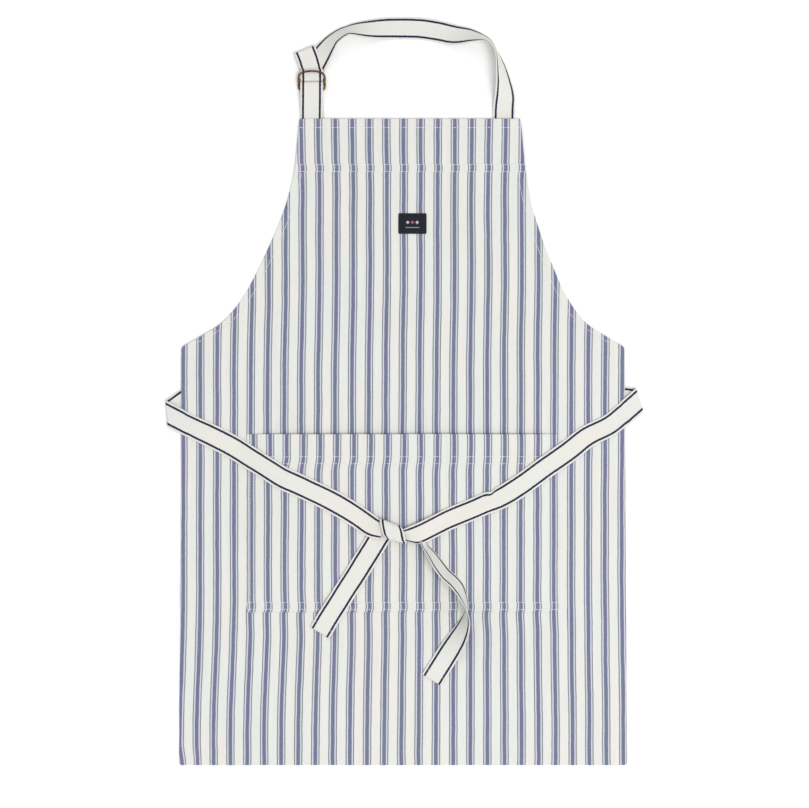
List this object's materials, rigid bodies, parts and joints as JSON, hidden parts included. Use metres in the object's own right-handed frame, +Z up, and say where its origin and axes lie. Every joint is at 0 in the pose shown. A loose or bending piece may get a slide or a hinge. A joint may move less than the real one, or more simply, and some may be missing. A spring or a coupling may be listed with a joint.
{
  "type": "butcher apron",
  "caption": "Bib apron in striped ticking, laid flat, with a neck strap run through two rings, a wide front pocket and waist ties knotted in front.",
  "frame": {"origin": "on the surface the apron lies on, in the middle of its footprint", "axes": "+Z up out of the apron's front, +Y from the hem towards the neck, +X to the right seen from above the front"},
  "size_m": [0.6688, 1.0472, 0.0417],
  "materials": {
    "ticking": "woven cotton ticking, off-white with blue stripes",
    "tape": "off-white cotton twill tape with two navy lines",
    "label_cloth": "woven navy label",
    "thread": "white sewing thread",
    "ring_metal": "antique brass"
  },
  "bodies": {
    "body": {"body_panel": "ticking", "pocket_panel": "ticking", "bib_label": "label_cloth", "neck_strap_sewn_end": "tape", "ring_tab_sewn_end": "tape", "tie_back_run_left": "tape", "tie_back_run_right": "tape", "tie_side_loop_left": "tape", "tie_side_loop_right": "tape", "bib_hem_stitching": "thread", "facing_stitching_upper": "thread", "facing_stitching_lower": "thread", "armhole_stitching_left": "thread", "armhole_stitching_right": "thread", "pocket_hem_stitching_upper": "thread", "pocket_hem_stitching_lower": "thread", "pocket_foot_stitching_upper": "thread", "pocket_foot_stitching_lower": "thread", "pocket_side_stitching_left": "thread", "pocket_side_stitching_right": "thread", "label_stitching": "thread"},
    "halter": {"neck_strap": "tape", "ring_tab": "tape", "ring_back": "ring_metal"},
    "front_ring": {"ring_front": "ring_metal"},
    "strap_end": {"neck_strap_free_end": "tape"},
    "front_tie": {"tie_front_run_left": "tape", "tie_front_run_right": "tape", "tie_knot": "tape"},
    "left_tail": {"tie_tail_left": "tape", "tail_left_end_stitching": "thread"},
    "right_tail": {"tie_tail_right": "tape", "tail_right_end_stitching": "thread"}
  },
  "joints": [
    {"name": "halter_swing", "type": "hinge", "parent": "body", "child": "halter", "pos_m": [0.007, 0.3812, 0.0046], "axis": [1, 0, 0], "range_deg": [0, 120]},
    {"name": "front_ring_turn", "type": "hinge", "parent": "halter", "child": "front_ring", "pos_m": [-0.1297, 0.429, 0.0059], "axis": [1, 0, 0], "range_deg": [0, 130]},
    {"name": "strap_end_lift", "type": "hinge", "parent": "halter", "child": "strap_end", "pos_m": [-0.131, 0.4518, 0.0057], "axis": [1, 0, 0], "range_deg": [0, 70]},
    {"name": "front_tie_lift", "type": "hinge", "parent": "body", "child": "front_tie", "pos_m": [0, -0.0155, 0.0048], "axis": [-1, 0, 0], "range_deg": [0, 80]},
    {"name": "left_tail_lift", "type": "hinge", "parent": "front_tie", "child": "left_tail", "pos_m": [-0.044, -0.2177, 0.0115], "axis": [-0.848, 0.53, 0], "range_deg": [0, 80]},
    {"name": "right_tail_lift", "type": "hinge", "parent": "front_tie", "child": "right_tail", "pos_m": [0.03, -0.2215, 0.0115], "axis": [-0.7892, -0.6141, 0], "range_deg": [0, 80]}
  ]
}
